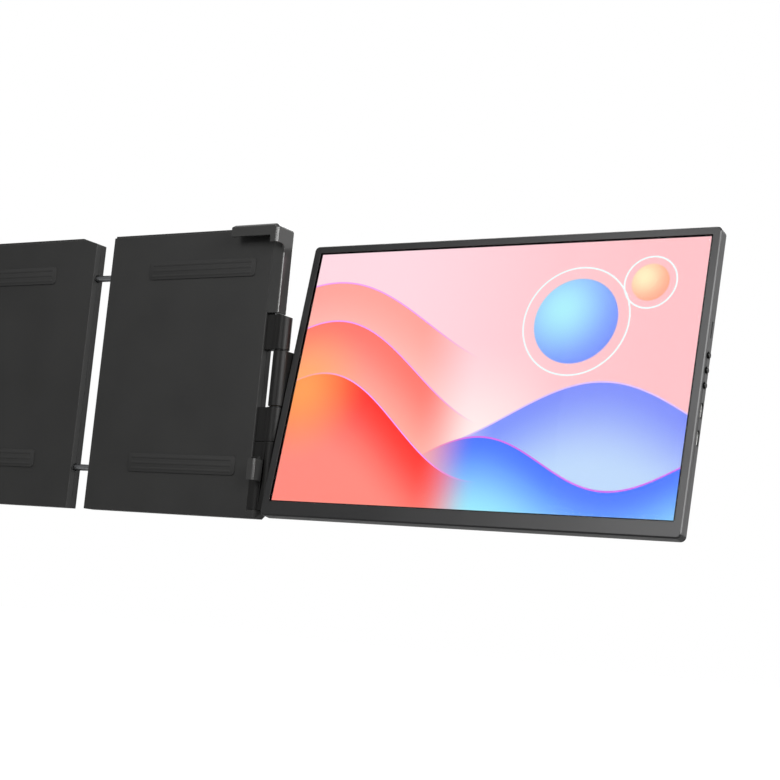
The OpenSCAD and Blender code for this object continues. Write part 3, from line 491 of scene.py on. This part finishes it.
# Pieces that keep their solids' shape and get broken edges: the solid, the piece, its body,
# its slot, its finish and the width of the edges, in millimetres
SKINNED = (
    ("right_side_rail", "side_rail_right", "frame_right", "column_metal", anodised, 0.35),
    ("right_side_clip", "side_clip_right", "frame_right", "column_metal", hook_metal_painted_light, 0.35),
    ("upper_knuckle", "knuckle_upper", "frame_right", "column_metal", anodised, 0.40),
    ("lower_knuckle", "knuckle_lower", "frame_right", "column_metal", anodised, 0.40),
    ("right_front_shell", "front_shell_right", "frame_right", "shell_plastic", abs_plastic, 0.4),
    ("right_end_cap", "end_cap_right", "frame_right", "shell_plastic", abs_plastic, 0.35),
    ("left_side_rail", "side_rail_left", "frame_left", "column_metal", anodised, 0.35),
    ("left_side_clip", "side_clip_left", "frame_left", "column_metal", hook_metal_painted_light, 0.35),
    ("left_front_shell", "front_shell_left", "frame_left", "shell_plastic", abs_plastic, 0.4),
    ("left_end_cap", "end_cap_left", "frame_left", "shell_plastic", abs_plastic, 0.35),
    ("width_rods", "telescoping_rods", "frame_right", "spring_steel", steel, 0.4),
    ("right_clip_foam", "foam_right", "frame_right", "pad_rubber", foam, 0.15),
    ("left_clip_foam", "foam_left", "frame_left", "pad_rubber", foam, 0.15),
    ("hinge_arm", "swing_arm", "arm", "column_metal", anodised, 0.45),
    ("tilt_bracket", "tilt_barrel", "screen", "spring_steel", black_steel, 0.3),
    ("tilt_cover", "tilt_hump", "screen", "screen_metal", casing, 0.7),
    ("side_grille", "microphone_grille", "screen", "black_plastic", black_abs, 0.1),
    ("rear_screws", "back_screws", "screen", "spring_steel", black_steel, 0.12),
)
for node, name, body, slot, finish, width in SKINNED:
    piece = merged_copy(node, name)
    soften(piece, width)
    hand_in(piece, body, finish, [node])


def corner_clip(node, name, body, side):
    """A corner clip: its outer top corner is rounded, a flat chamfer follows the front's
    outline, and the hook's lower end runs into the rail in a curve. Its tenons, and the
    small step where its side chamfer ends, stay sharp."""
    end_x, front_y, back_y, top_z = 174.28, -8.98, 11.88, 2.78
    hook_back_y, hook_low_z = 1.02, -11.28
    corner, curve = 3.6, 3.7
    plate_x, plate_y = 164.1, 2
    step_low_z, step_high_z = -17.5, -14.9
    piece = merged_copy(node, name)
    mould = block("mould", (100, front_y, -80), (end_x, back_y, top_z))
    scoop = block("scoop", (160, -20, -80), (180, hook_back_y, hook_low_z))
    for solid in (mould, scoop):
        solid.data.transform(Matrix.Scale(side, 4, (1, 0, 0)))
        if side < 0:
            solid.data.flip_normals()
    pick(mould, "EDGE", lambda a, b: all(
        abs(p.x) > end_x - 0.1 and p.z > top_z - 0.1 for p in (a, b)))
    bpy.ops.mesh.bevel(offset=corner * MM, segments=8, affect="EDGES")
    close()
    for y, width, steps in ((front_y, 1.6, 1), (back_y, 1.2, 4)):
        pick(mould, "EDGE", lambda a, b: all(
            abs(p.y - y) < 0.01
            and (abs(p.x) > end_x - corner - 0.1 or p.z > top_z - corner - 0.1)
            for p in (a, b)))
        bpy.ops.mesh.bevel(offset=width * MM, segments=steps, affect="EDGES")
        close()
    pick(scoop, "EDGE", lambda a, b: all(
        p.y > hook_back_y - 0.1 and p.z > hook_low_z - 0.1 for p in (a, b)))
    bpy.ops.mesh.bevel(offset=curve * MM, segments=8, affect="EDGES")
    close()
    cut(piece, scoop)
    apply(piece, "BOOLEAN", operation="INTERSECT", object=mould, solver="EXACT")
    bpy.data.objects.remove(mould)
    round_off(piece, 0.35, lambda p: p.z > hook_low_z - 0.72 or (
        abs(p.x) > plate_x and (p.y > plate_y or not step_low_z < p.z < step_high_z)))
    # The clip takes the alloy whose paler colour is painted light
    hand_in(piece, body, hook_metal_painted_light, [node])


def front_bezel():
    """The bezel, with a flat chamfer cut round its front and its opening's walls made flat
    black.
    """
    half_w, half_h = PICTURE_W / 2, PICTURE_H / 2
    margin, chamfer = 2, 0.9
    piece = merged_copy("front_bezel", "bezel_front")
    piece.data.transform(SCREEN.inverted())
    pick(piece, "EDGE", lambda a, b: max(a.y, b.y) < 0.05 and all(
        abs(p.x - half_w) > half_w + margin or abs(p.z - half_h) > half_h + margin
        for p in (a, b)))
    bpy.ops.mesh.bevel(offset=chamfer * MM, segments=1, affect="EDGES")
    close()
    soften(piece, 0.15, 2, 30)
    piece.data.materials.clear()
    piece.data.materials.append(casing)
    piece.data.materials.append(ink_and_painted_shade)
    for face in piece.data.polygons:
        spot = face.center / MM
        inside = -1 < spot.x < PICTURE_W + 1 and -1 < spot.z < PICTURE_H + 1
        face.material_index = 1 if inside and spot.y > 0.2 else 0
    hand_in(piece, "screen", None, ["front_bezel"], on_screen=True)


def lit_panel():
    """The display panel: a thin slab whose front is inset to part the picture from its
    black edge, which is widest on the right."""
    front, back, lap = 1.62, 2.58, 2
    lit_share, still_point = (0.9967, 1, 0.9984), (100, front, PICTURE_H)
    piece = block("picture_panel", (-lap, front, -lap), (PICTURE_W + lap, back, PICTURE_H + lap))
    pick(piece, "FACE", lambda centre, normal: normal.y < -0.9)
    bpy.ops.mesh.inset(thickness=lap * MM, use_even_offset=True)
    bpy.ops.transform.resize(value=lit_share, center_override=[c * MM for c in still_point])
    close()
    piece.data.materials.append(ink_and_painted_shade)
    piece.data.materials.append(picture)
    for layer in list(piece.data.uv_layers):
        piece.data.uv_layers.remove(layer)
    layer = piece.data.uv_layers.new(name="Picture")
    for face in piece.data.polygons:
        middle = abs(face.center.x / MM - PICTURE_W / 2) < 1 and face.normal.y < -0.9
        face.material_index = 1 if middle and face.area > 0.05 else 0
        for loop in face.loop_indices:
            spot = piece.data.vertices[piece.data.loops[loop].vertex_index].co / MM
            layer.data[loop].uv = (spot.x / PICTURE_W, spot.z / PICTURE_W)
    hand_in(piece, "screen", None, ["display_panel"], on_screen=True)


def cover_pane():
    """The cover glass, with its edges ground round."""
    front, back, lap = 1.04, 1.54, 1.9
    piece = block("glass_pane", (-lap, front, -lap), (PICTURE_W + lap, back, PICTURE_H + lap))
    pick(piece, "EDGE", lambda a, b: abs(a.y - b.y) > 0.3)
    bpy.ops.mesh.bevel(offset=1 * MM, segments=5, affect="EDGES")
    close()
    soften(piece, 0.12, 2)
    hand_in(piece, "screen", glass, ["cover_glass"], on_screen=True)


def push_button(node, name, step):
    """A round button: a stem with a flange inside, a rounded rim and a shallow dish. The
    middle one is step 0, and the others are a step above and below it."""
    depth, height, pitch = 5.6, 98.6, 10.0
    radius, flange_radius, flange_thick = 1.9, 2.25, 0.7
    rim = RIGHT_U + 1.1
    inner = RIGHT_U - 1.4 - 0.3
    v = height + step * pitch
    piece = post(name, ((rim + inner) / 2, depth, v), radius, rim - inner, "X", 40)
    pick(piece, "FACE", lambda centre, normal: normal.x > 0.9)
    bpy.ops.mesh.inset(thickness=0.45 * MM)
    bpy.ops.mesh.inset(thickness=0.3 * MM, depth=-0.16 * MM)
    bpy.ops.mesh.inset(thickness=0.5 * MM, depth=-0.1 * MM)
    close()
    pick(piece, "EDGE", lambda a, b: min(a.x, b.x) > rim - 0.05 and min(
        (p.yz - Vector((depth, v))).length for p in (a, b)) > radius - 0.05)
    bpy.ops.mesh.bevel(offset=0.4 * MM, segments=5, affect="EDGES")
    close()
    pick(piece, "FACE", lambda centre, normal: normal.x < -0.9)
    bpy.ops.mesh.extrude_region_move()
    bpy.ops.transform.resize(value=(1, flange_radius / radius, flange_radius / radius),
                             center_override=(inner * MM, depth * MM, v * MM))
    bpy.ops.mesh.extrude_region_move(
        TRANSFORM_OT_translate={"value": (-flange_thick * MM, 0, 0)})
    close()
    only(piece)
    bpy.ops.object.shade_smooth_by_angle(angle=math.radians(40))
    hand_in(piece, node, button_black, [node], on_screen=True)


def port_shells():
    """The drawn shells of the ports, set back to the floor of their countersinks."""
    set_back = 0.65
    piece = merged_copy("usb_shells", "port_shells")
    piece.data.transform(SCREEN.inverted())
    pick(piece, "FACE", lambda centre, normal: centre.x > RIGHT_U - 0.2 and normal.x > 0.9)
    bpy.ops.transform.translate(value=(-set_back * MM, 0, 0))
    close()
    soften(piece, 0.1)
    hand_in(piece, "screen", nickel, ["usb_shells"], on_screen=True)


def port_tongues():
    """The tongues inside the ports, each with a rounded lip and a row of ten contacts."""
    upper, lower = 72.1, 54.2
    half_width, contact_pitch, contact_half = 3.1, 0.5, 0.12
    tongue = block("tongue", (RIGHT_U - 6.4, 5.55, upper - half_width),
                   (RIGHT_U - 1.9, 6.25, upper + half_width))
    pick(tongue, "EDGE", lambda a, b: min(a.x, b.x) > RIGHT_U - 2.2)
    bpy.ops.mesh.bevel(offset=0.2 * MM, segments=3, affect="EDGES")
    close()
    tongue.data.materials.append(black_abs)
    first = upper - 4.5 * contact_pitch
    contact = block("contact", (RIGHT_U - 5.2, 5.53, first - contact_half),
                    (RIGHT_U - 2.5, 5.56, first + contact_half))
    contact.data.materials.append(bronze)
    apply(contact, "ARRAY", count=10, use_relative_offset=False, use_constant_offset=True,
          constant_offset_displace=(0, 0, contact_pitch * MM))
    tongue = joined("tongue", [tongue, contact])
    piece = joined("port_tongues", [
        tongue, moved_copy(tongue, "tongue", (0, 0, lower - upper))])
    hand_in(piece, "screen", None, ["usb_tongues"], on_screen=True)


def ribbed_pads(body, node, name, side):
    """The two pads on a half of the frame: rubber slabs with three low ribs along them."""
    upper_z, lower_z, tall, half_long = -34.0, -181.9, 14, 50.5
    face_y, seat_y = 0.25, 1.0
    rib_radius, rib_half_high, rib_long, rib_pitch = 1.2, 0.5, 94, 4.2
    middle = side * 99.5
    slab = block("slab", (middle - half_long, face_y, upper_z),
                 (middle + half_long, seat_y, upper_z + tall))
    pick(slab, "EDGE", lambda a, b: abs(a.y - b.y) > 0.3)
    bpy.ops.mesh.bevel(offset=2.5 * MM, segments=6, affect="EDGES")
    close()
    pick(slab, "EDGE", lambda a, b: max(a.y, b.y) < 0.3)
    bpy.ops.mesh.bevel(offset=0.2 * MM, segments=2, affect="EDGES")
    close()
    rib = post("rib", (middle, rib_half_high, upper_z + 2.8), rib_radius, rib_long, "X", 24)
    pick(rib, "EDGE", lambda a, b: abs(a.x - b.x) < 0.1)
    bpy.ops.mesh.bevel(offset=0.5 * MM, segments=3, affect="EDGES")
    bpy.ops.mesh.select_all(action="SELECT")
    bpy.ops.transform.resize(value=(1, rib_half_high / rib_radius, 1),
                             center_override=(middle * MM, rib_half_high * MM, 0))
    close()
    apply(rib, "ARRAY", count=3, use_relative_offset=False, use_constant_offset=True,
          constant_offset_displace=(0, 0, rib_pitch * MM))
    pad = joined("pad", [slab, rib])
    piece = joined(name, [pad, moved_copy(pad, "pad", (0, 0, lower_z - upper_z))])
    bpy.ops.object.shade_smooth_by_angle(angle=math.radians(SHARP))
    hand_in(piece, body, rubber, [node])


def shell_screws(body, node, name, side):
    """Flat-headed screws sunk in the frame's back, each with a cross recess."""
    places = ((26.0, -12.0), (26.0, -100.0), (26.0, -200.0), (141.2, -20.0), (141.2, -195.0))
    head_radius, head_thick, head_y = 2.0, 0.8, 11.3
    shank_radius, shank_long = 1.25, 5.6
    slot_half_long, slot_half_wide, slot_floor_y = 1.15, 0.28, 11.25
    head = post("screw", (0, head_y, 0), head_radius, head_thick, "Y", 36)
    pick(head, "FACE", lambda centre, normal: normal.y < -0.9)
    bpy.ops.mesh.inset(thickness=(head_radius - shank_radius) * MM)
    bpy.ops.mesh.extrude_region_move(TRANSFORM_OT_translate={"value": (0, -shank_long * MM, 0)})
    close()
    for wide, tall in ((slot_half_wide, slot_half_long), (slot_half_long, slot_half_wide)):
        slot = block("slot", (-wide, slot_floor_y, -tall), (wide, BACK_Y + 0.3, tall))
        cut(head, slot)
    soften(head, 0.1, 2, 30)
    heads = [moved_copy(head, "screw", (side * x, 0, z)) for x, z in places]
    bpy.data.objects.remove(head)
    piece = joined(name, heads)
    hand_in(piece, body, black_steel, [node])


def slope_wall():
    """A wall just under the slope at the left half's inner end, which closes its hollow."""
    slope_top = Vector((-25.7, 0, 2.8))
    fall, run, thick, set_down = 5.3, 16.7, 1.8, 0.3
    wall = block("wall", (1.0, 2.85, -set_down - thick), (17.0, 11.0, -set_down))
    turn = Matrix.Rotation(math.atan2(fall, run), 4, "Y")
    wall.data.transform(Matrix.Translation(slope_top * MM) @ turn)
    return wall


def frame_cover(node, name, body, x, rows, wall=None):
    """The back of a half of the frame, with rows of grip grooves let into it. A row is the
    height of its first groove and the number of grooves. The grooves' own edges stay crisp."""
    long, wide, deep, pitch = 90, 1.6, 0.4, 5
    piece = merged_copy(node, name)
    for first, count in rows:
        groove = block("groove", (x, BACK_Y - deep, first),
                       (x + long, BACK_Y + 0.5, first + wide))
        pick(groove, "EDGE", lambda a, b: abs(a.y - b.y) > 0.5)
        bpy.ops.mesh.bevel(offset=0.79 * MM, segments=4, affect="EDGES")
        close()
        apply(groove, "ARRAY", count=count, use_relative_offset=False,
              use_constant_offset=True, constant_offset_displace=(0, 0, -pitch * MM))
        cut(piece, groove)

    def by_grooves(p):
        beside = p.y > BACK_Y - deep - 0.1 and x - 0.1 < p.x < x + long + 0.1
        return beside and any(
            first - pitch * count < p.z < first + 2 for first, count in rows)

    round_off(piece, 0.3, lambda p: not by_grooves(p))
    if wall is not None:
        piece = joined(name, [piece, wall])
    hand_in(piece, body, abs_plastic, [node])


def casing_back():
    """The screen's rear cover, with slots over each speaker, a countersink round each port
    whose faces are black as painted shade, and a fine groove that runs round its back."""
    countersink, slot_wide, slot_pitch = 0.7, 1.2, 3
    left, right, low, high = 12, 288, 27, 172
    ring_wide, ring_floor_y, ring_radius = 1.2, 9.7, 9

    def by_ports(p):
        return 48 < p.z < 78

    piece = merged_copy("rear_cover", "casing_back")
    for first in (28.0, 239.0):
        cutter = block("slots", (first, 8.0, 10), (first + slot_wide, 10.5, 20))
        pick(cutter, "EDGE", lambda a, b: abs(a.y - b.y) > 1)
        bpy.ops.mesh.bevel(offset=0.59 * MM, segments=4, affect="EDGES")
        close()
        apply(cutter, "ARRAY", count=12, use_relative_offset=False, use_constant_offset=True,
              constant_offset_displace=(slot_pitch * MM, 0, 0))
        cutter.data.transform(SCREEN)
        cut(piece, cutter)
    piece.data.transform(SCREEN.inverted())
    pick(piece, "EDGE", lambda a, b: min(a.x, b.x) > RIGHT_U - 0.05 and all(
        3.5 < p.y < 8.3 and by_ports(p) for p in (a, b)))
    bpy.ops.mesh.bevel(offset=countersink * MM, segments=1, affect="EDGES")
    close()
    ring = block("ring", (left, ring_floor_y, low), (right, ring_floor_y + 0.7, high))
    core = block("core", (left + ring_wide, ring_floor_y - 0.1, low + ring_wide),
                 (right - ring_wide, ring_floor_y + 0.8, high - ring_wide))
    for solid, radius in ((ring, ring_radius), (core, ring_radius - ring_wide)):
        pick(solid, "EDGE", lambda a, b: abs(a.y - b.y) > 0.5)
        bpy.ops.mesh.bevel(offset=radius * MM, segments=8, affect="EDGES")
        close()
    cut(ring, core)
    cut(piece, ring)
    round_off(piece, 0.3, lambda p: not (
        (p.y > ring_floor_y - 0.1 and left - 1 < p.x < right + 1 and low - 1 < p.z < high + 1)
        or (p.x > RIGHT_U - 1.5 and p.y < 9 and by_ports(p))))
    piece.data.materials.clear()
    piece.data.materials.append(casing)
    piece.data.materials.append(ink_and_painted_shade)
    # The countersinks' faces take the black, painted shade for the ports' recesses
    for face in piece.data.polygons:
        spot = face.center / MM
        sunk = RIGHT_U - 0.8 < spot.x < RIGHT_U - 0.05 and 3 < spot.y < 9 and by_ports(spot)
        face.material_index = 1 if sunk else 0
    hand_in(piece, "screen", None, ["rear_cover"], on_screen=True)


def folding_stand():
    """The kickstand, with a shallow field let into its back, and its ribbed foot."""
    left, right, low, high, deep = 50, 130, -190, -76, 0.4
    piece = merged_copy("kickstand", "stand_panel")
    field = block("field", (left, BACK_Y - deep, low), (right, BACK_Y + 0.6, high))
    pick(field, "EDGE", lambda a, b: abs(a.y - b.y) > 0.5)
    bpy.ops.mesh.bevel(offset=3 * MM, segments=6, affect="EDGES")
    close()
    cut(piece, field)
    round_off(piece, 0.3, lambda p: p.y < BACK_Y - deep - 0.1 or not (
        left - 0.1 < p.x < right + 0.1 and low - 0.1 < p.z < high + 0.1))
    hand_in(piece, "kickstand", abs_plastic, ["kickstand"])
    foot_left, foot_low, foot_high = 46.5, -207, -202
    groove_wide, groove_deep, groove_pitch = 0.8, 0.35, 2
    foot = merged_copy("kickstand_foot", "stand_foot")
    soften(foot, 0.6)
    groove = block("groove", (foot_left, BACK_Y - groove_deep, foot_low),
                   (foot_left + groove_wide, BACK_Y + 0.6, foot_high))
    apply(groove, "ARRAY", count=44, use_relative_offset=False, use_constant_offset=True,
          constant_offset_displace=(groove_pitch * MM, 0, 0))
    cut(foot, groove)
    hand_in(foot, "kickstand", rubber, ["kickstand_foot"])


corner_clip("right_corner_clip", "corner_clip_right", "frame_right", 1)
corner_clip("left_corner_clip", "corner_clip_left", "frame_left", -1)
front_bezel()
lit_panel()
cover_pane()
push_button("upper_button", "button_top", 1)
push_button("middle_button", "button_centre", 0)
push_button("lower_button", "button_bottom", -1)
port_shells()
port_tongues()
ribbed_pads("frame_right", "right_lid_pads", "lid_pads_right", 1)
ribbed_pads("frame_left", "left_lid_pads", "lid_pads_left", -1)
shell_screws("frame_right", "right_shell_screws", "screws_right", 1)
shell_screws("frame_left", "left_shell_screws", "screws_left", -1)
frame_cover("right_rear_cover", "back_cover_right", "frame_right", 45, [(-30, 5)])
frame_cover("left_rear_cover", "back_cover_left", "frame_left", -135, [(-30, 5), (-76, 24)],
            slope_wall())
casing_back()
folding_stand()


# ---- floor, light and camera ----


def pale_ground():
    """A paper floor that keeps a soft shadow. The camera and clear pieces see it white, so
    it meets the white surround without a line. It throws back little light from below, and
    glossy pieces see a trace of its glow."""
    white_share, glossy_share = 0.93, 0.05
    wide, top, thick = 6000, -450, 30
    made, tree, shader = finish_named(
        "matt_white_paper", Roughness=0.9, Base_Color=linear("#8c8c8c"),
        Emission_Color=(1, 1, 1, 1)
    )
    rays = add(tree, "ShaderNodeLightPath")
    seen = add(tree, "ShaderNodeMath", {"operation": "MAXIMUM"},
               {0: rays.outputs["Is Camera Ray"], 1: rays.outputs["Is Transmission Ray"]})
    sheen = add(tree, "ShaderNodeMath", {"operation": "MULTIPLY"},
                {0: rays.outputs["Is Glossy Ray"], 1: glossy_share})
    glow = add(tree, "ShaderNodeMath", {"operation": "MULTIPLY_ADD"},
               {0: seen.outputs[0], 1: white_share, 2: sheen.outputs[0]})
    tree.links.new(glow.outputs[0], shader.inputs["Emission Strength"])
    floor = block("floor", (-wide, -wide, top - thick), (wide, wide, top))
    floor.data.materials.append(made)


def lamp(name, spot, aim, wide, tall, power):
    """A soft box at a place in metres, turned to a point, with its power in watts."""
    data = bpy.data.lights.new(name, "AREA")
    data.shape = "RECTANGLE"
    data.size, data.size_y = wide, tall
    data.energy = power
    light = bpy.data.objects.new(name, data)
    bpy.context.scene.collection.objects.link(light)
    light.location = spot
    light.rotation_euler = (Vector(aim) - Vector(spot)).to_track_quat("-Z", "Y").to_euler()


def white_room():
    """A white surround, as a studio's backdrop is. Where it lights matt surfaces it is even
    and weaker, and glossy ones see the dark side of the studio in front of the object."""
    matt_share, dark_side = 0.5, 0.12
    world = bpy.data.worlds.new("room")
    bpy.context.scene.world = world
    world.use_nodes = True
    tree = world.node_tree
    rays = add(tree, "ShaderNodeLightPath")
    where = add(tree, "ShaderNodeTexCoord")
    parts = add(tree, "ShaderNodeSeparateXYZ", None, {0: where.outputs["Generated"]})
    back = add(tree, "ShaderNodeMapRange", {"interpolation_type": "SMOOTHSTEP"},
               {0: parts.outputs[1], 1: -0.7, 2: 0.5, 3: dark_side, 4: 1.0})
    light = add(tree, "ShaderNodeMix", {"data_type": "FLOAT"},
                {0: rays.outputs["Is Glossy Ray"], 2: matt_share, 3: back.outputs[0]})
    seen = add(tree, "ShaderNodeMath", {"operation": "MAXIMUM"},
               {0: rays.outputs["Is Camera Ray"], 1: rays.outputs["Is Transmission Ray"]})
    strength = add(tree, "ShaderNodeMix", {"data_type": "FLOAT"},
                   {0: seen.outputs[0], 2: light.outputs[0], 3: 1.0})
    ground = tree.nodes["Background"]
    ground.inputs["Color"].default_value = (1, 1, 1, 1)
    tree.links.new(strength.outputs[0], ground.inputs["Strength"])


def camera():
    """The camera, low in front of the screen's right and looking up at it, in metres."""
    place_of_eye = Vector((0.8521, -0.9144, -0.2684))
    looking = Vector((-0.5275, 0.8384, 0.1373))
    across = Vector((0.8495, 0.5196, 0.0910))
    data = bpy.data.cameras.new("camera")
    data.sensor_width = 36
    data.lens = 73.34
    data.clip_start = 0.01
    eye = bpy.data.objects.new("camera", data)
    bpy.context.scene.collection.objects.link(eye)
    back = -looking.normalized()
    right = (across - across.dot(back) * back).normalized()
    up = back.cross(right)
    turn = Matrix((right, up, back)).transposed().to_4x4()
    eye.matrix_world = Matrix.Translation(place_of_eye) @ turn
    bpy.context.scene.camera = eye


pale_ground()
white_room()
lamp("key", (-0.1, -2.1, 0.9), (0.25, 0.0, -0.1), 1.2, 1.2, 26)
lamp("side", (1.85, -0.62, 0.52), (0.3, 0.0, -0.1), 1.1, 0.9, 36)
lamp("top", (-0.1, 1.25, 0.85), (0.15, 0.0, 0.0), 1.2, 0.5, 8)
lamp("back", (-0.6, 2.4, 0.7), (0.1, 0.0, -0.1), 1.6, 1.2, 22)
camera()
bpy.context.scene.view_settings.view_transform = "Standard"
